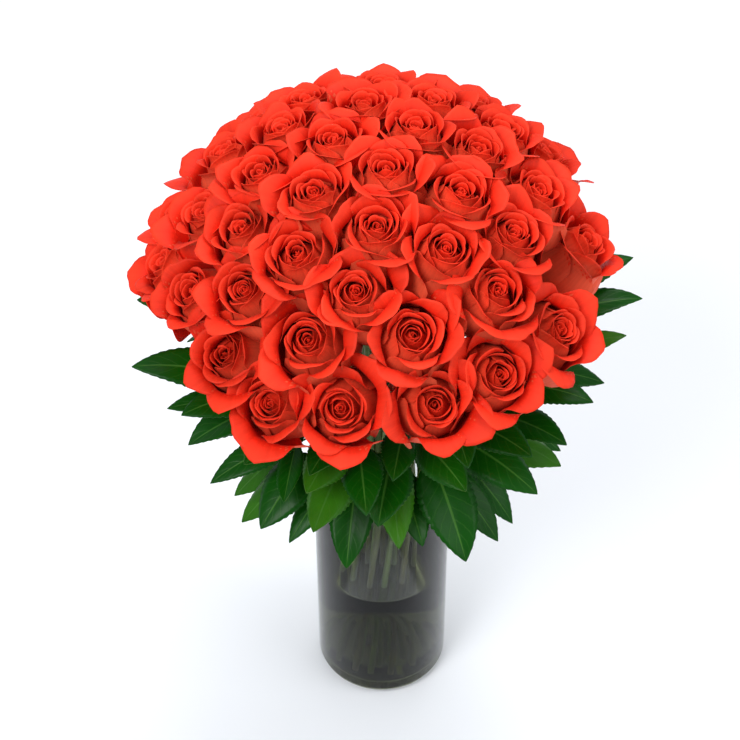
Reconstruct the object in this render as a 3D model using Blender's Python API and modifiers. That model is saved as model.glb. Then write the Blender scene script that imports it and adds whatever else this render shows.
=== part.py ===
"""Four dozen cut roses standing in a clear glass cylinder vase, part filled with water.

Frame: the origin is the centre of the vase's foot, +Z is up and -Y is the front. Metres.
Each rose is one grown piece: stem, leaves and bloom. A bloom is a closed goblet whose flat
top marks the middle of its face, and it sits on a dome over the vase.
"""

import math

import bmesh
import bpy
from mathutils import Vector

# Vase and water
VASE_R = 0.0635
VASE_H = 0.305
WALL = 0.0035
BASE = 0.016
HEEL_R = 0.012
WATER_Z = 0.1495
GAP = 0.0003

# Roses
STEM_R = 0.0029
BLOOM_R = 0.026
BLOOM_H = 0.0546
DOME_RISE = 0.178
LEAN = 0.65
NECK = 0.022

# The dome that the faces of the blooms lie on, sized so that the blooms just clear each other.
DOME_R = 7.7 * BLOOM_R
DOME_Z = VASE_H + DOME_RISE
DRAWN_R = 200.0

# The bunch of stems: turned between the foot and the mouth of the vase, gathered at the mouth
# to a share of its spread under the blooms, and drawn in a little more at the foot.
TWIST = math.radians(38)
MOUTH_TWIST = 0.25
GATHERED = 0.33
FOOT_DRAW = 0.045
FLARE_POWER = 1.25
FLARE_TOP = DOME_Z + 0.07 * DOME_R
FIT_TOP = DOME_Z - 0.25 * DOME_R
WALL_ROOM = 0.0022
FOOT_ROOM = 0.0012
KNOTS_OVER_MOUTH = (0.055, 0.105, 0.165, 0.225)

# Leaf blades: share of the midrib that is bare stalk, and half thicknesses.
STALK = 0.24
SIDE_STALK = 0.14
ARCH = 0.22
STALK_R = 0.0013
BLADE_T = 0.0008
DISH = 0.22

# The bloom's outline: share of its height, share of its radius.
GOBLET = ((0.09, 0.40), (0.34, 0.82), (0.66, 0.96), (0.86, 1.0), (1.0, 0.74))

# Where each bloom sits on the dome, as millimetres of arc from the top of a 200 mm dome:
# across (to the right) and back. The last word says where in the bouquet it is.
BLOOMS = {
    "crown_1": (-40, 6), "crown_2": (4, -30), "crown_3": (28, 22), "crown_4": (-14, 56),
    "upper_1": (-56, -47), "upper_2": (-4, -84), "upper_3": (54, -98), "upper_4": (66, -44),
    "upper_5": (82, 10), "upper_6": (44, 74), "upper_7": (2, 116), "upper_8": (-68, 96),
    "upper_9": (-86, 44), "upper_10": (-104, -8),
    "front_1": (-124, -58), "front_2": (-72, -98), "front_3": (-126, -114),
    "front_4": (-160, -160), "front_5": (-68, -170), "front_6": (-118, -216),
    "front_7": (-22, -136), "front_8": (-42, -230), "front_9": (28, -170),
    "front_10": (54, -226), "front_11": (104, -122), "front_12": (118, -190),
    "right_1": (116, -66), "right_2": (142, -6), "right_3": (210, -14),
    "right_4": (188, -128), "right_5": (108, 60), "right_6": (166, 92),
    "right_7": (88, 130),
    "left_1": (-166, -14), "left_2": (-190, -86), "left_3": (-240, -10),
    "left_4": (-222, 58), "left_5": (-150, 66),
    "back_1": (-50, 172), "back_2": (24, 180), "back_3": (-116, 140), "back_4": (-184, 124),
    "back_5": (146, 156), "back_6": (92, 200), "back_7": (-106, 208), "back_8": (-16, 238),
    "back_9": (-174, 188), "back_10": (49, 258),
}

# Leaves: rose, height of the joint on its stem, tip bearing in degrees round from the front,
# tip distance from the axis, tip height, half width in mm, leaflets. Distances and heights
# are shares of the dome radius, heights measured from the dome's centre.
LEAVES = (
    ("front_6", -0.36, -51, 0.94, -0.44, 16, 3),
    ("front_6", -0.44, -36, 0.88, -0.60, 24, 1),
    ("front_6", -0.52, -50, 0.80, -0.80, 20, 1),
    ("front_4", -0.24, -72, 1.10, 0.02, 20, 1),
    ("front_4", -0.38, -69, 0.98, -0.23, 16, 1),
    ("left_2", -0.26, -83, 1.06, -0.20, 19, 1),
    ("left_2", -0.42, -70, 0.90, -0.52, 22, 1),
    ("front_8", -0.40, -18, 0.92, -0.42, 21, 1),
    ("front_8", -0.52, -30, 0.80, -0.72, 15, 1),
    ("front_8", -0.60, -12, 0.74, -0.86, 21, 1),
    ("front_9", -0.46, 5, 0.84, -0.58, 19, 1),
    ("front_10", -0.56, 13, 0.78, -0.66, 17, 1),
    ("front_10", -0.38, -1, 0.86, -0.40, 24, 1),
    ("front_12", -0.44, 25, 0.86, -0.74, 27, 1),
    ("front_12", -0.34, 43, 0.96, -0.38, 23, 1),
    ("front_12", -0.54, 41, 0.78, -0.84, 20, 1),
    ("right_4", -0.35, 54, 0.96, -0.22, 20, 1),
    ("right_4", -0.27, 79, 1.05, 0.06, 15, 1),
    ("right_4", -0.47, 62, 0.88, -0.54, 22, 1),
    ("right_3", -0.20, 92, 1.12, 0.04, 18, 1),
    ("right_3", -0.36, 84, 0.98, -0.34, 21, 3),
    ("right_3", -0.52, 78, 0.82, -0.72, 20, 1),
    ("right_6", -0.24, 116, 1.02, -0.10, 21, 3),
    ("right_3", -0.44, 101, 0.92, -0.50, 20, 1),
    ("back_5", -0.32, 127, 0.98, -0.26, 17, 3),
    ("back_5", -0.50, 140, 0.84, -0.66, 20, 1),
    ("back_6", -0.38, 158, 0.97, -0.42, 16, 3),
    ("back_10", -0.42, 172, 0.92, -0.60, 23, 1),
    ("back_10", -0.28, 178, 1.00, -0.22, 18, 1),
    ("back_8", -0.34, -172, 1.0, -0.34, 18, 3),
    ("back_8", -0.50, -168, 0.82, -0.70, 20, 1),
    ("back_7", -0.42, -158, 0.92, -0.58, 23, 1),
    ("back_7", -0.28, -157, 1.00, -0.24, 17, 1),
    ("back_9", -0.30, -134, 1.02, -0.22, 16, 3),
    ("back_9", -0.44, -128, 0.90, -0.56, 22, 1),
    ("left_4", -0.26, -110, 1.04, -0.18, 17, 3),
    ("left_4", -0.42, -116, 0.90, -0.52, 21, 1),
    ("left_3", -0.40, -94, 0.96, -0.46, 22, 1),
    ("left_3", -0.52, -86, 0.82, -0.72, 20, 1),
    ("front_6", -0.22, -38, 0.92, -0.16, 19, 1),
    ("front_8", -0.24, -20, 0.90, -0.20, 19, 1),
    ("front_8", -0.32, -4, 0.90, -0.28, 19, 1),
    ("front_10", -0.24, 22, 0.92, -0.18, 19, 1),
    ("front_12", -0.22, 40, 0.96, -0.10, 19, 1),
    ("front_4", -0.16, -56, 1.00, -0.04, 19, 1),
    ("right_4", -0.16, 62, 1.00, -0.06, 17, 1),
    ("left_3", -0.22, -98, 1.08, -0.08, 19, 1),
    ("right_3", -0.10, 100, 1.10, 0.14, 17, 1),
    ("back_10", -0.24, 164, 0.94, -0.16, 19, 1),
    ("back_8", -0.24, -170, 0.94, -0.16, 19, 1),
    ("front_9", -0.04, 2, 0.60, 0.08, 13, 1),
    ("front_11", 0.02, 22, 0.62, 0.12, 13, 1),
    ("front_7", 0.10, 9, 0.42, 0.30, 13, 1),
    ("front_10", -0.14, 3, 0.88, -0.08, 16, 1),
    ("front_12", -0.12, 23, 0.90, -0.06, 16, 1),
    ("front_8", -0.14, -19, 0.90, -0.08, 16, 1),
    ("front_6", -0.12, -37, 0.92, -0.04, 16, 1),
    ("front_5", -0.07, -21, 0.64, 0.04, 13, 1),
    ("back_5", -0.62, 146, 0.70, -0.80, 19, 1),
    ("back_10", -0.58, 175, 0.74, -0.82, 20, 1),
    ("back_7", -0.58, -150, 0.74, -0.80, 20, 1),
    ("back_9", -0.56, -122, 0.76, -0.78, 19, 1),
    ("left_4", -0.56, -104, 0.78, -0.80, 19, 1),
    ("right_3", -0.64, 92, 0.74, -0.86, 18, 1),
    ("front_4", -0.54, -62, 0.74, -0.82, 19, 1),
    ("right_4", -0.60, 52, 0.74, -0.88, 19, 1),
)


def clear_scene():
    for obj in list(bpy.data.objects):
        bpy.data.objects.remove(obj, do_unlink=True)


def collection(name):
    made = bpy.data.collections.new(name)
    bpy.context.scene.collection.children.link(made)
    return made


def material(name, colour, roughness, metallic=0.0):
    mat = bpy.data.materials.new(name)
    mat.use_nodes = True
    shader = mat.node_tree.nodes["Principled BSDF"]
    shader.inputs["Base Color"].default_value = (*colour, 1.0)
    shader.inputs["Roughness"].default_value = roughness
    shader.inputs["Metallic"].default_value = metallic
    mat.diffuse_color = (*colour, 1.0)
    return mat


def add_object(name, data, home):
    obj = bpy.data.objects.new(name, data)
    home.objects.link(obj)
    return obj


def as_helper(obj):
    obj.hide_render = True
    obj.display_type = "WIRE"
    return obj


def arc(centre_x, centre_z, radius, start, end, steps):
    """Points of a quarter round, angles in degrees."""
    turn = [math.radians(start + (end - start) * k / steps) for k in range(steps + 1)]
    return [(centre_x + radius * math.cos(a), centre_z + radius * math.sin(a)) for a in turn]


def turned(name, profile, home, steps=48):
    """A profile in X and Z, turned about the Z axis."""
    mesh = bpy.data.meshes.new(name)
    points = [(x, 0.0, z) for x, z in profile]
    mesh.from_pydata(points, [(k, k + 1) for k in range(len(points) - 1)], [])
    obj = add_object(name, mesh, home)
    screw = obj.modifiers.new("turn", "SCREW")
    screw.steps = screw.render_steps = steps
    screw.use_smooth_shade = True
    screw.use_merge_vertices = True
    screw.merge_threshold = 0.0001
    return obj


def inside_profile(gap, top):
    """Floor centre, out along the floor and up the inside wall of the vase, less a gap."""
    radius = VASE_R - WALL - gap
    corner = 0.6 * HEEL_R
    low = arc(radius - corner, BASE + gap + corner, corner, -90, 0, 4)
    return [(0.0, BASE + gap)] + low + [(radius, top)]


def make_vase(home):
    inner = inside_profile(0.0, VASE_H - 0.5 * WALL)
    rim = arc(VASE_R - 0.5 * WALL, VASE_H - 0.5 * WALL, 0.5 * WALL, 135, 0, 3)
    heel = arc(VASE_R - HEEL_R, HEEL_R, HEEL_R, 0, -90, 5)
    obj = turned("vase", inner + rim + heel + [(0.0, 0.0)], home)
    obj.data.materials.append(material("clear glass", (0.80, 0.83, 0.83), 0.04))


def tube_mesh(name, points, radii):
    """A closed eight-sided tube through the points, its radius given at each."""
    data = bpy.data.curves.new(name, "CURVE")
    data.dimensions = "3D"
    data.bevel_depth = 1.0
    data.bevel_resolution = 2
    data.use_fill_caps = True
    spline = data.splines.new("POLY")
    spline.points.add(len(points) - 1)
    for knot, place, radius in zip(spline.points, points, radii):
        knot.co = (*place, 1.0)
        knot.radius = radius
    curve = bpy.data.objects.new(name + "_line", data)
    bpy.context.scene.collection.objects.link(curve)
    graph = bpy.context.evaluated_depsgraph_get()
    mesh = bpy.data.meshes.new_from_object(curve.evaluated_get(graph))
    bpy.data.objects.remove(curve, do_unlink=True)
    bpy.data.curves.remove(data)
    mesh.name = name
    return mesh


def weld(mesh):
    work = bmesh.new()
    work.from_mesh(mesh)
    bmesh.ops.remove_doubles(work, verts=work.verts, dist=0.00002)
    bmesh.ops.recalc_face_normals(work, faces=work.faces)
    work.to_mesh(mesh)
    work.free()
    return mesh


def bloom_face(arc_x, arc_y):
    """Middle of a bloom's face on the dome, and the way the bloom leans."""
    run = math.hypot(arc_x, arc_y)
    angle = run / DRAWN_R
    side = Vector((arc_x, arc_y, 0.0)) / run
    place = side * DOME_R * math.sin(angle) + Vector((0, 0, DOME_Z + DOME_R * math.cos(angle)))
    lean = LEAN * angle
    return place, side * math.sin(lean) + Vector((0, 0, math.cos(lean)))


def share_up(z, low, high):
    """0 below the low height, 1 above the high one, and even between."""
    return max(0.0, min(1.0, (z - low) / (high - low)))


def spread(z):
    """How far the bunch is spread and turned at a height, as one complex number."""
    rise = max(z - VASE_H, 0.0) / (FLARE_TOP - VASE_H)
    sunk = max(VASE_H - z, 0.0) / VASE_H
    size = GATHERED + (1.0 - GATHERED) * rise**FLARE_POWER - FOOT_DRAW * sunk
    turn = -TWIST * sunk - MOUTH_TWIST * TWIST * max(1.0 - rise, 0.0)
    return size * complex(math.cos(turn), math.sin(turn))


def squeeze(z, fit):
    """What the bunch is scaled by at a height, so that it goes through the vase's mouth."""
    return fit + (1.0 - fit) * share_up(z, VASE_H, FIT_TOP)


def widest():
    """Distance from the axis of the outermost neck, on the bunch's own scale."""
    found = 0.0
    for spot in BLOOMS.values():
        face, axis = bloom_face(*spot)
        neck = face - axis * (BLOOM_H + NECK)
        found = max(found, math.hypot(neck.x, neck.y) / abs(spread(neck.z)))
    return found


def stem_place(mark, z, fit):
    """Where the stem with this mark in the bunch passes a height."""
    at = mark * spread(z) * squeeze(z, fit)
    return Vector((at.real, at.imag, z))


def rose_line(spot, fit):
    """Stem knots from the foot to the neck, then the bloom's knots and radii."""
    face, axis = bloom_face(*spot)
    base = face - axis * BLOOM_H
    neck = base - axis * NECK
    mark = complex(neck.x, neck.y) / (spread(neck.z) * squeeze(neck.z, fit))
    heights = [BASE + FOOT_ROOM, WATER_Z + 0.008, VASE_H]
    heights += [VASE_H + up for up in KNOTS_OVER_MOUTH if VASE_H + up < neck.z - 0.03]
    points = [stem_place(mark, z, fit) for z in heights] + [neck, base]
    radii = [STEM_R] * (len(points) - 1) + [1.25 * STEM_R]
    for height, radius in GOBLET:
        points.append(base + axis * BLOOM_H * height)
        radii.append(BLOOM_R * radius)
    return points, radii


def along(points, z):
    """The point of a rising line at a height."""
    for low, high in zip(points, points[1:]):
        if low.z <= z <= high.z:
            return low.lerp(high, (z - low.z) / (high.z - low.z))
    return points[-1].copy()


def blade_mesh(name, start, bend, tip, half_width, stalk):
    """A leaf with its stalk: four-cornered rings along a bent midrib, closed at the tip."""
    out = Vector((tip.x, tip.y, 0.0)).normalized()
    face = (out * 0.75 + Vector((0, 0, 0.66))).normalized()
    shape = ((0.0, 0.0), (stalk, 0.0), (stalk + 0.10, 0.62), (stalk + 0.28, 1.0),
             (stalk + 0.45, 0.80), (0.93, 0.30))
    points, faces = [], []
    for u, width in shape:
        centre = start * (1 - u) ** 2 + bend * 2 * u * (1 - u) + tip * u * u
        ahead = ((bend - start) * (1 - u) + (tip - bend) * u).normalized()
        side = ahead.cross(face).normalized()
        up = side.cross(ahead).normalized()
        reach = max(half_width * width, STALK_R)
        thick = BLADE_T if width else STALK_R
        lift = up * reach * (DISH if width else 0.0)
        points += [centre + side * reach + lift, centre + up * thick,
                   centre - side * reach + lift, centre - up * thick]
    for ring in range(len(shape) - 1):
        for k in range(4):
            a, b = 4 * ring + k, 4 * ring + (k + 1) % 4
            faces.append((a, b, b + 4, a + 4))
    last = 4 * (len(shape) - 1)
    points.append(tip)
    faces += [(last + k, last + (k + 1) % 4, last + 4) for k in range(4)]
    faces.append((3, 2, 1, 0))
    mesh = bpy.data.meshes.new(name)
    mesh.from_pydata([tuple(p) for p in points], [], faces)
    return weld(mesh)


def leaf_meshes(name, line, joint, bearing, reach, height, half_width, leaflets):
    """One leaf: the end leaflet on its stalk and, on a leaf of three, the pair beside it."""
    turn = math.radians(bearing)
    start = along(line, DOME_Z + joint * DOME_R)
    tip = Vector((math.sin(turn), -math.cos(turn), 0.0)) * reach * DOME_R
    tip.z = DOME_Z + height * DOME_R
    bend = start.lerp(tip, 0.5) + Vector((0, 0, ARCH * (tip - start).length))
    half = half_width * 0.001
    made = [blade_mesh(name + "_end", start, bend, tip, half, STALK)]
    if leaflets == 3:
        root = start * (1 - STALK) ** 2 + bend * 2 * STALK * (1 - STALK) + tip * STALK**2
        ahead = (tip - root).normalized()
        across = ahead.cross(Vector((0, 0, 1))).normalized()
        length = 0.78 * (tip - root).length
        for side in (-1, 1):
            end = root + (ahead * 0.55 + across * 0.83 * side) * length
            middle = root.lerp(end, 0.5) + Vector((0, 0, 0.1 * length))
            made.append(blade_mesh(f"{name}_{side}", root, middle, end, 0.78 * half, SIDE_STALK))
    return made


def make_rose(name, spot, fit, home, helpers):
    line, radii = rose_line(spot, fit)
    obj = add_object("rose_" + name, weld(tube_mesh(name, line, radii)), home)
    obj.data.shade_smooth()
    obj.data.set_sharp_from_angle(angle=math.radians(40))
    obj.data.materials.append(material(f"rose {name}", (0.78, 0.10, 0.04), 0.5))
    for number, leaf in enumerate(row for row in LEAVES if row[0] == name):
        for mesh in leaf_meshes(f"leaf_{name}_{number}", line, *leaf[1:]):
            blade = as_helper(add_object(mesh.name, mesh, helpers))
            union = obj.modifiers.new(mesh.name, "BOOLEAN")
            union.operation = "UNION"
            union.solver = "EXACT"
            union.object = blade
    return line


def make_water(lines, home, helpers):
    profile = inside_profile(GAP, WATER_Z)
    obj = turned("water", profile + [(0.0, WATER_Z)], home)
    obj.data.materials.append(material("murky water", (0.10, 0.12, 0.09), 0.05))
    for number, line in enumerate(lines):
        along_stem = (line[1] - line[0]).normalized() * 0.006
        mesh = tube_mesh(f"channel_{number}", (line[0] - along_stem, line[1] + along_stem),
                         (STEM_R + 2 * GAP,) * 2)
        add_object(mesh.name, weld(mesh), helpers)
        as_helper(helpers.objects[mesh.name])
    cut = obj.modifiers.new("channels", "BOOLEAN")
    cut.operation = "DIFFERENCE"
    cut.solver = "EXACT"
    cut.operand_type = "COLLECTION"
    cut.collection = helpers


def main():
    clear_scene()
    home = collection("roses in a vase")
    leaves = collection("leaf helpers")
    channels = collection("stem channels")
    make_vase(home)
    room = VASE_R - WALL - STEM_R - WALL_ROOM
    fit = room / (GATHERED * widest())
    lines = [make_rose(name, spot, fit, home, leaves) for name, spot in BLOOMS.items()]
    make_water(lines, home, channels)
    leaves.hide_render = True
    channels.hide_render = True


main()
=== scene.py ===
"""Looks for four dozen coral red roses in a glass cylinder vase.

Every bloom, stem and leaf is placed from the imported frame: a bloom sits on its own goblet, a
stem follows its own tube, and the leaves hang from the stems below the dome of blooms.
"""

from __future__ import annotations

import logging
import math
from dataclasses import dataclass, field
from enum import Enum

import bpy
import numpy as np
from bpy.types import Material, Node, NodeSocket, NodeTree, Object
from mathutils import Matrix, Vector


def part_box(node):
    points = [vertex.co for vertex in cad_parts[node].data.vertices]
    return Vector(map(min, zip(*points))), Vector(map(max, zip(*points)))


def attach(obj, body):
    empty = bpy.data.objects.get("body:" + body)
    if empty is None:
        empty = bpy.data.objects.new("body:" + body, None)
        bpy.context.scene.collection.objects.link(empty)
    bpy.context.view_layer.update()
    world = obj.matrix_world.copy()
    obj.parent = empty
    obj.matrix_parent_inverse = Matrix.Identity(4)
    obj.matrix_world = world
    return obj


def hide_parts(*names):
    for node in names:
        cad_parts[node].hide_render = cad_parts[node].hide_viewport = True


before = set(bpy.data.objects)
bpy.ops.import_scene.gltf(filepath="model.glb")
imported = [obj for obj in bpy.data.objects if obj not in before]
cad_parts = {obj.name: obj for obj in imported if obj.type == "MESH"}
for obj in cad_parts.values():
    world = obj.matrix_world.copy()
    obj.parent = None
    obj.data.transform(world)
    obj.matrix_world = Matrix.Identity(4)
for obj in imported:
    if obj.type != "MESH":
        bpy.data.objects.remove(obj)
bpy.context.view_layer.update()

MM = 0.001
GOLDEN_TURN = 2.39996
ANY_TURN = 6.28
LOG = logging.getLogger("roses")


# ---- small maths


def smooth(x: np.ndarray) -> np.ndarray:
    """The S-curve 3x^2 - 2x^3, held at 0 below 0 and at 1 above 1."""
    x = np.clip(x, 0.0, 1.0)
    return x * x * (3.0 - 2.0 * x)


def stacked(*layers: np.ndarray) -> np.ndarray:
    """Arrays spread to one shape and stacked along a new last axis."""
    return np.stack(np.broadcast_arrays(*layers), axis=-1)


def unit(v: np.ndarray) -> np.ndarray:
    """The vectors along the last axis, each made one long."""
    return v / np.maximum(np.linalg.norm(v, axis=-1, keepdims=True), 1e-12)


def axes_round(axis: np.ndarray, turn: float = 0.0) -> np.ndarray:
    """Three unit rows, across, along and up, with up on the given axis.

    Args:
        axis: the direction that becomes up.
        turn: angle in radians that the other two are turned round it.

    Returns:
        A 3x3 array whose rows are the local X, Y and Z directions.
    """
    up = unit(np.asarray(axis, float))
    hint = np.array([0.0, 1.0, 0.0]) if abs(up[1]) < 0.9 else np.array([1.0, 0.0, 0.0])
    across = unit(np.cross(hint, up))
    along = np.cross(up, across)
    return np.array([
        across * math.cos(turn) + along * math.sin(turn),
        along * math.cos(turn) - across * math.sin(turn),
        up,
    ])


# ---- meshes


@dataclass
class Shell:
    """Points, four-sided faces, a UV for each point and a colour for each point."""

    points: np.ndarray
    faces: np.ndarray
    uv: np.ndarray
    tint: np.ndarray

    @staticmethod
    def joined(shells: list[Shell]) -> Shell:
        """All the shells as one.

        Args:
            shells: the shells, in order.

        Returns:
            One shell whose faces count on through the points.
        """
        starts = np.cumsum([0] + [len(s.points) for s in shells[:-1]])
        return Shell(
            np.concatenate([s.points for s in shells]),
            np.concatenate([s.faces + k for s, k in zip(shells, starts)]),
            np.concatenate([s.uv for s in shells]),
            np.concatenate([s.tint for s in shells]),
        )


def grid_faces(rows: int, cols: int, closed: bool = False) -> np.ndarray:
    """Faces of a grid of points numbered row by row.

    Args:
        rows: rows of points.
        cols: points in a row.
        closed: whether the last column joins the first.

    Returns:
        An (n, 4) array of point numbers.
    """
    across = cols if closed else cols - 1
    r, c = np.meshgrid(np.arange(rows - 1), np.arange(across), indexing="ij")
    r, c = r.ravel(), c.ravel()
    n = (c + 1) % cols
    return np.stack([r * cols + c, r * cols + n, (r + 1) * cols + n, (r + 1) * cols + c], axis=1)


def sheet(grid: np.ndarray, thickness: np.ndarray, uv: np.ndarray, tint: np.ndarray) -> Shell:
    """A closed thin shell round a grid of points.

    The front is the grid moved half a thickness along its normal, the back half a thickness
    the other way, and a strip of faces round the border joins them.

    Args:
        grid: (rows, cols, 3) points.
        thickness: (rows, cols) thickness in metres.
        uv: (rows, cols, 2) coordinates.
        tint: (rows, cols, 3) numbers kept for the material; the fourth is 0 on the front
            and 1 on the back.

    Returns:
        The closed shell, facing outwards.
    """
    rows, cols = grid.shape[:2]
    normal = unit(np.cross(np.gradient(grid, axis=1), np.gradient(grid, axis=0)))
    half = 0.5 * thickness[..., None] * normal
    front, back = (grid + half).reshape(-1, 3), (grid - half).reshape(-1, 3)
    count = rows * cols
    faces = grid_faces(rows, cols)
    index = np.arange(count).reshape(rows, cols)
    border = np.concatenate([index[0, :-1], index[:-1, -1], index[-1, :0:-1], index[:0:-1, 0]])
    after = np.roll(border, -1)
    rim = np.stack([after, border, border + count, after + count], axis=1)
    flat_tint = tint.reshape(-1, 3)
    sides = [np.concatenate([flat_tint, np.full((count, 1), s)], axis=1) for s in (0.0, 1.0)]
    return Shell(
        np.concatenate([front, back]),
        np.concatenate([faces, faces[:, ::-1] + count, rim]),
        np.tile(uv.reshape(-1, 2), (2, 1)),
        np.concatenate(sides),
    )


def tube(path: np.ndarray, radius: np.ndarray, sides: int, shade: float) -> Shell:
    """A tube carried along a path, its ends closed to a point on the path.

    Each ring is a circle square to the path, in a frame carried along without twist.

    Args:
        path: (n, 3) points.
        radius: (n,) radii.
        sides: points round a ring.
        shade: a number from 0 to 1 kept for the material.

    Returns:
        The closed tube, facing outwards.
    """
    ahead = unit(np.gradient(path, axis=0))
    across = np.empty_like(path)
    across[0] = axes_round(ahead[0])[0]
    for k in range(1, len(path)):
        across[k] = unit(across[k - 1] - ahead[k] * (across[k - 1] @ ahead[k]))
    along = np.cross(ahead, across)
    angle = np.linspace(0.0, 2 * math.pi, sides, endpoint=False)
    ring = across[:, None] * np.cos(angle)[:, None] + along[:, None] * np.sin(angle)[:, None]
    rings = path[:, None] + ring * radius[:, None, None]
    closed = np.concatenate([
        np.repeat(path[:1, None], sides, 1), rings, np.repeat(path[-1:, None], sides, 1),
    ])
    rows = len(closed)
    uv = np.stack(np.meshgrid(np.linspace(0, 1, rows), angle / 6.2832, indexing="ij"), axis=-1)
    tint = np.full((rows * sides, 4), shade)
    tint[:, 3] = uv[..., 0].ravel()
    return Shell(closed.reshape(-1, 3), grid_faces(rows, sides, True), uv.reshape(-1, 2), tint)


def turned(profile: np.ndarray, sides: int) -> Shell:
    """A profile of radius and height turned about the Z axis, its ends on the axis.

    Args:
        profile: (n, 2) radii and heights, from the inside up, over and down the outside.
        sides: points round a ring.

    Returns:
        The closed shell, facing outwards.
    """
    angle = np.linspace(0.0, 2 * math.pi, sides, endpoint=False)
    radius, height = profile[:, 0], profile[:, 1]
    points = np.stack([
        radius[:, None] * np.cos(angle), radius[:, None] * np.sin(angle),
        np.repeat(height[:, None], sides, 1),
    ], axis=-1)
    faces = grid_faces(len(profile), sides, True)[:, ::-1]
    count = len(profile) * sides
    return Shell(points.reshape(-1, 3), faces, np.zeros((count, 2)), np.zeros((count, 4)))


def make_piece(name: str, shell: Shell, material: Material, node: str,
               has_poles: bool = False) -> Object:
    """A mesh object that stands for a node of the frame.

    Args:
        name: the object's name.
        shell: its points and faces.
        material: its material.
        node: the frame's node that it replaces.
        has_poles: whether points that coincide are made one, as at a tube's ends.

    Returns:
        The new object, riding on the root body.
    """
    mesh = bpy.data.meshes.new(name)
    points, faces, uv, tint = shell.points, shell.faces, shell.uv, shell.tint
    if has_poles:
        first, keep = np.unique(np.round(points / 1e-7).astype(np.int64), axis=0,
                                return_index=True, return_inverse=True)[1:]
        points, uv, tint = points[first], uv[first], tint[first]
        corners = [tuple(dict.fromkeys(face)) for face in keep.reshape(-1)[faces].tolist()]
        faces = [face for face in corners if len(face) > 2]
    else:
        faces = faces.tolist()
    mesh.from_pydata(points, [], faces)
    loops = np.empty(len(mesh.loops), np.int64)
    mesh.loops.foreach_get("vertex_index", loops)
    layer = mesh.uv_layers.new(name="surface")
    layer.data.foreach_set("uv", uv[loops].astype(np.float32).ravel())
    colours = mesh.attributes.new("tint", "FLOAT_COLOR", "POINT")
    colours.data.foreach_set("color", tint.astype(np.float32).ravel())
    mesh.shade_smooth()
    mesh.materials.append(material)
    obj = bpy.data.objects.new(name, mesh)
    bpy.context.scene.collection.objects.link(obj)
    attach(obj, "root")
    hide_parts(node)
    return obj


# ---- what the frame says

WIDEST_BLOOM = 34 * MM
DEEPEST_BLOOM = 66 * MM
UPPER_BLOOM = 30 * MM
NECK_SHARE = 0.2
FOOT_LAYER = 1.2 * MM
SLICE_FROM, SLICE_TO, SLICES = 4 * MM, 6 * MM, 44
SAME_STEM = 2.2
MOST_DRIFT = 20 * MM


def points_of(node: str) -> np.ndarray:
    """The (n, 3) points of a node's mesh, with its triangles worked out."""
    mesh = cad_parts[node].data
    mesh.calc_loop_triangles()
    points = np.empty(len(mesh.vertices) * 3, np.float32)
    mesh.vertices.foreach_get("co", points)
    return points.reshape(-1, 3)


def triangles_of(node: str) -> np.ndarray:
    """The (n, 3, 3) corners of a node's triangles."""
    points = points_of(node).astype(float)
    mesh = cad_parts[node].data
    numbers = np.empty(len(mesh.loop_triangles) * 3, np.int32)
    mesh.loop_triangles.foreach_get("vertices", numbers)
    return points[numbers.reshape(-1, 3)]


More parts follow.
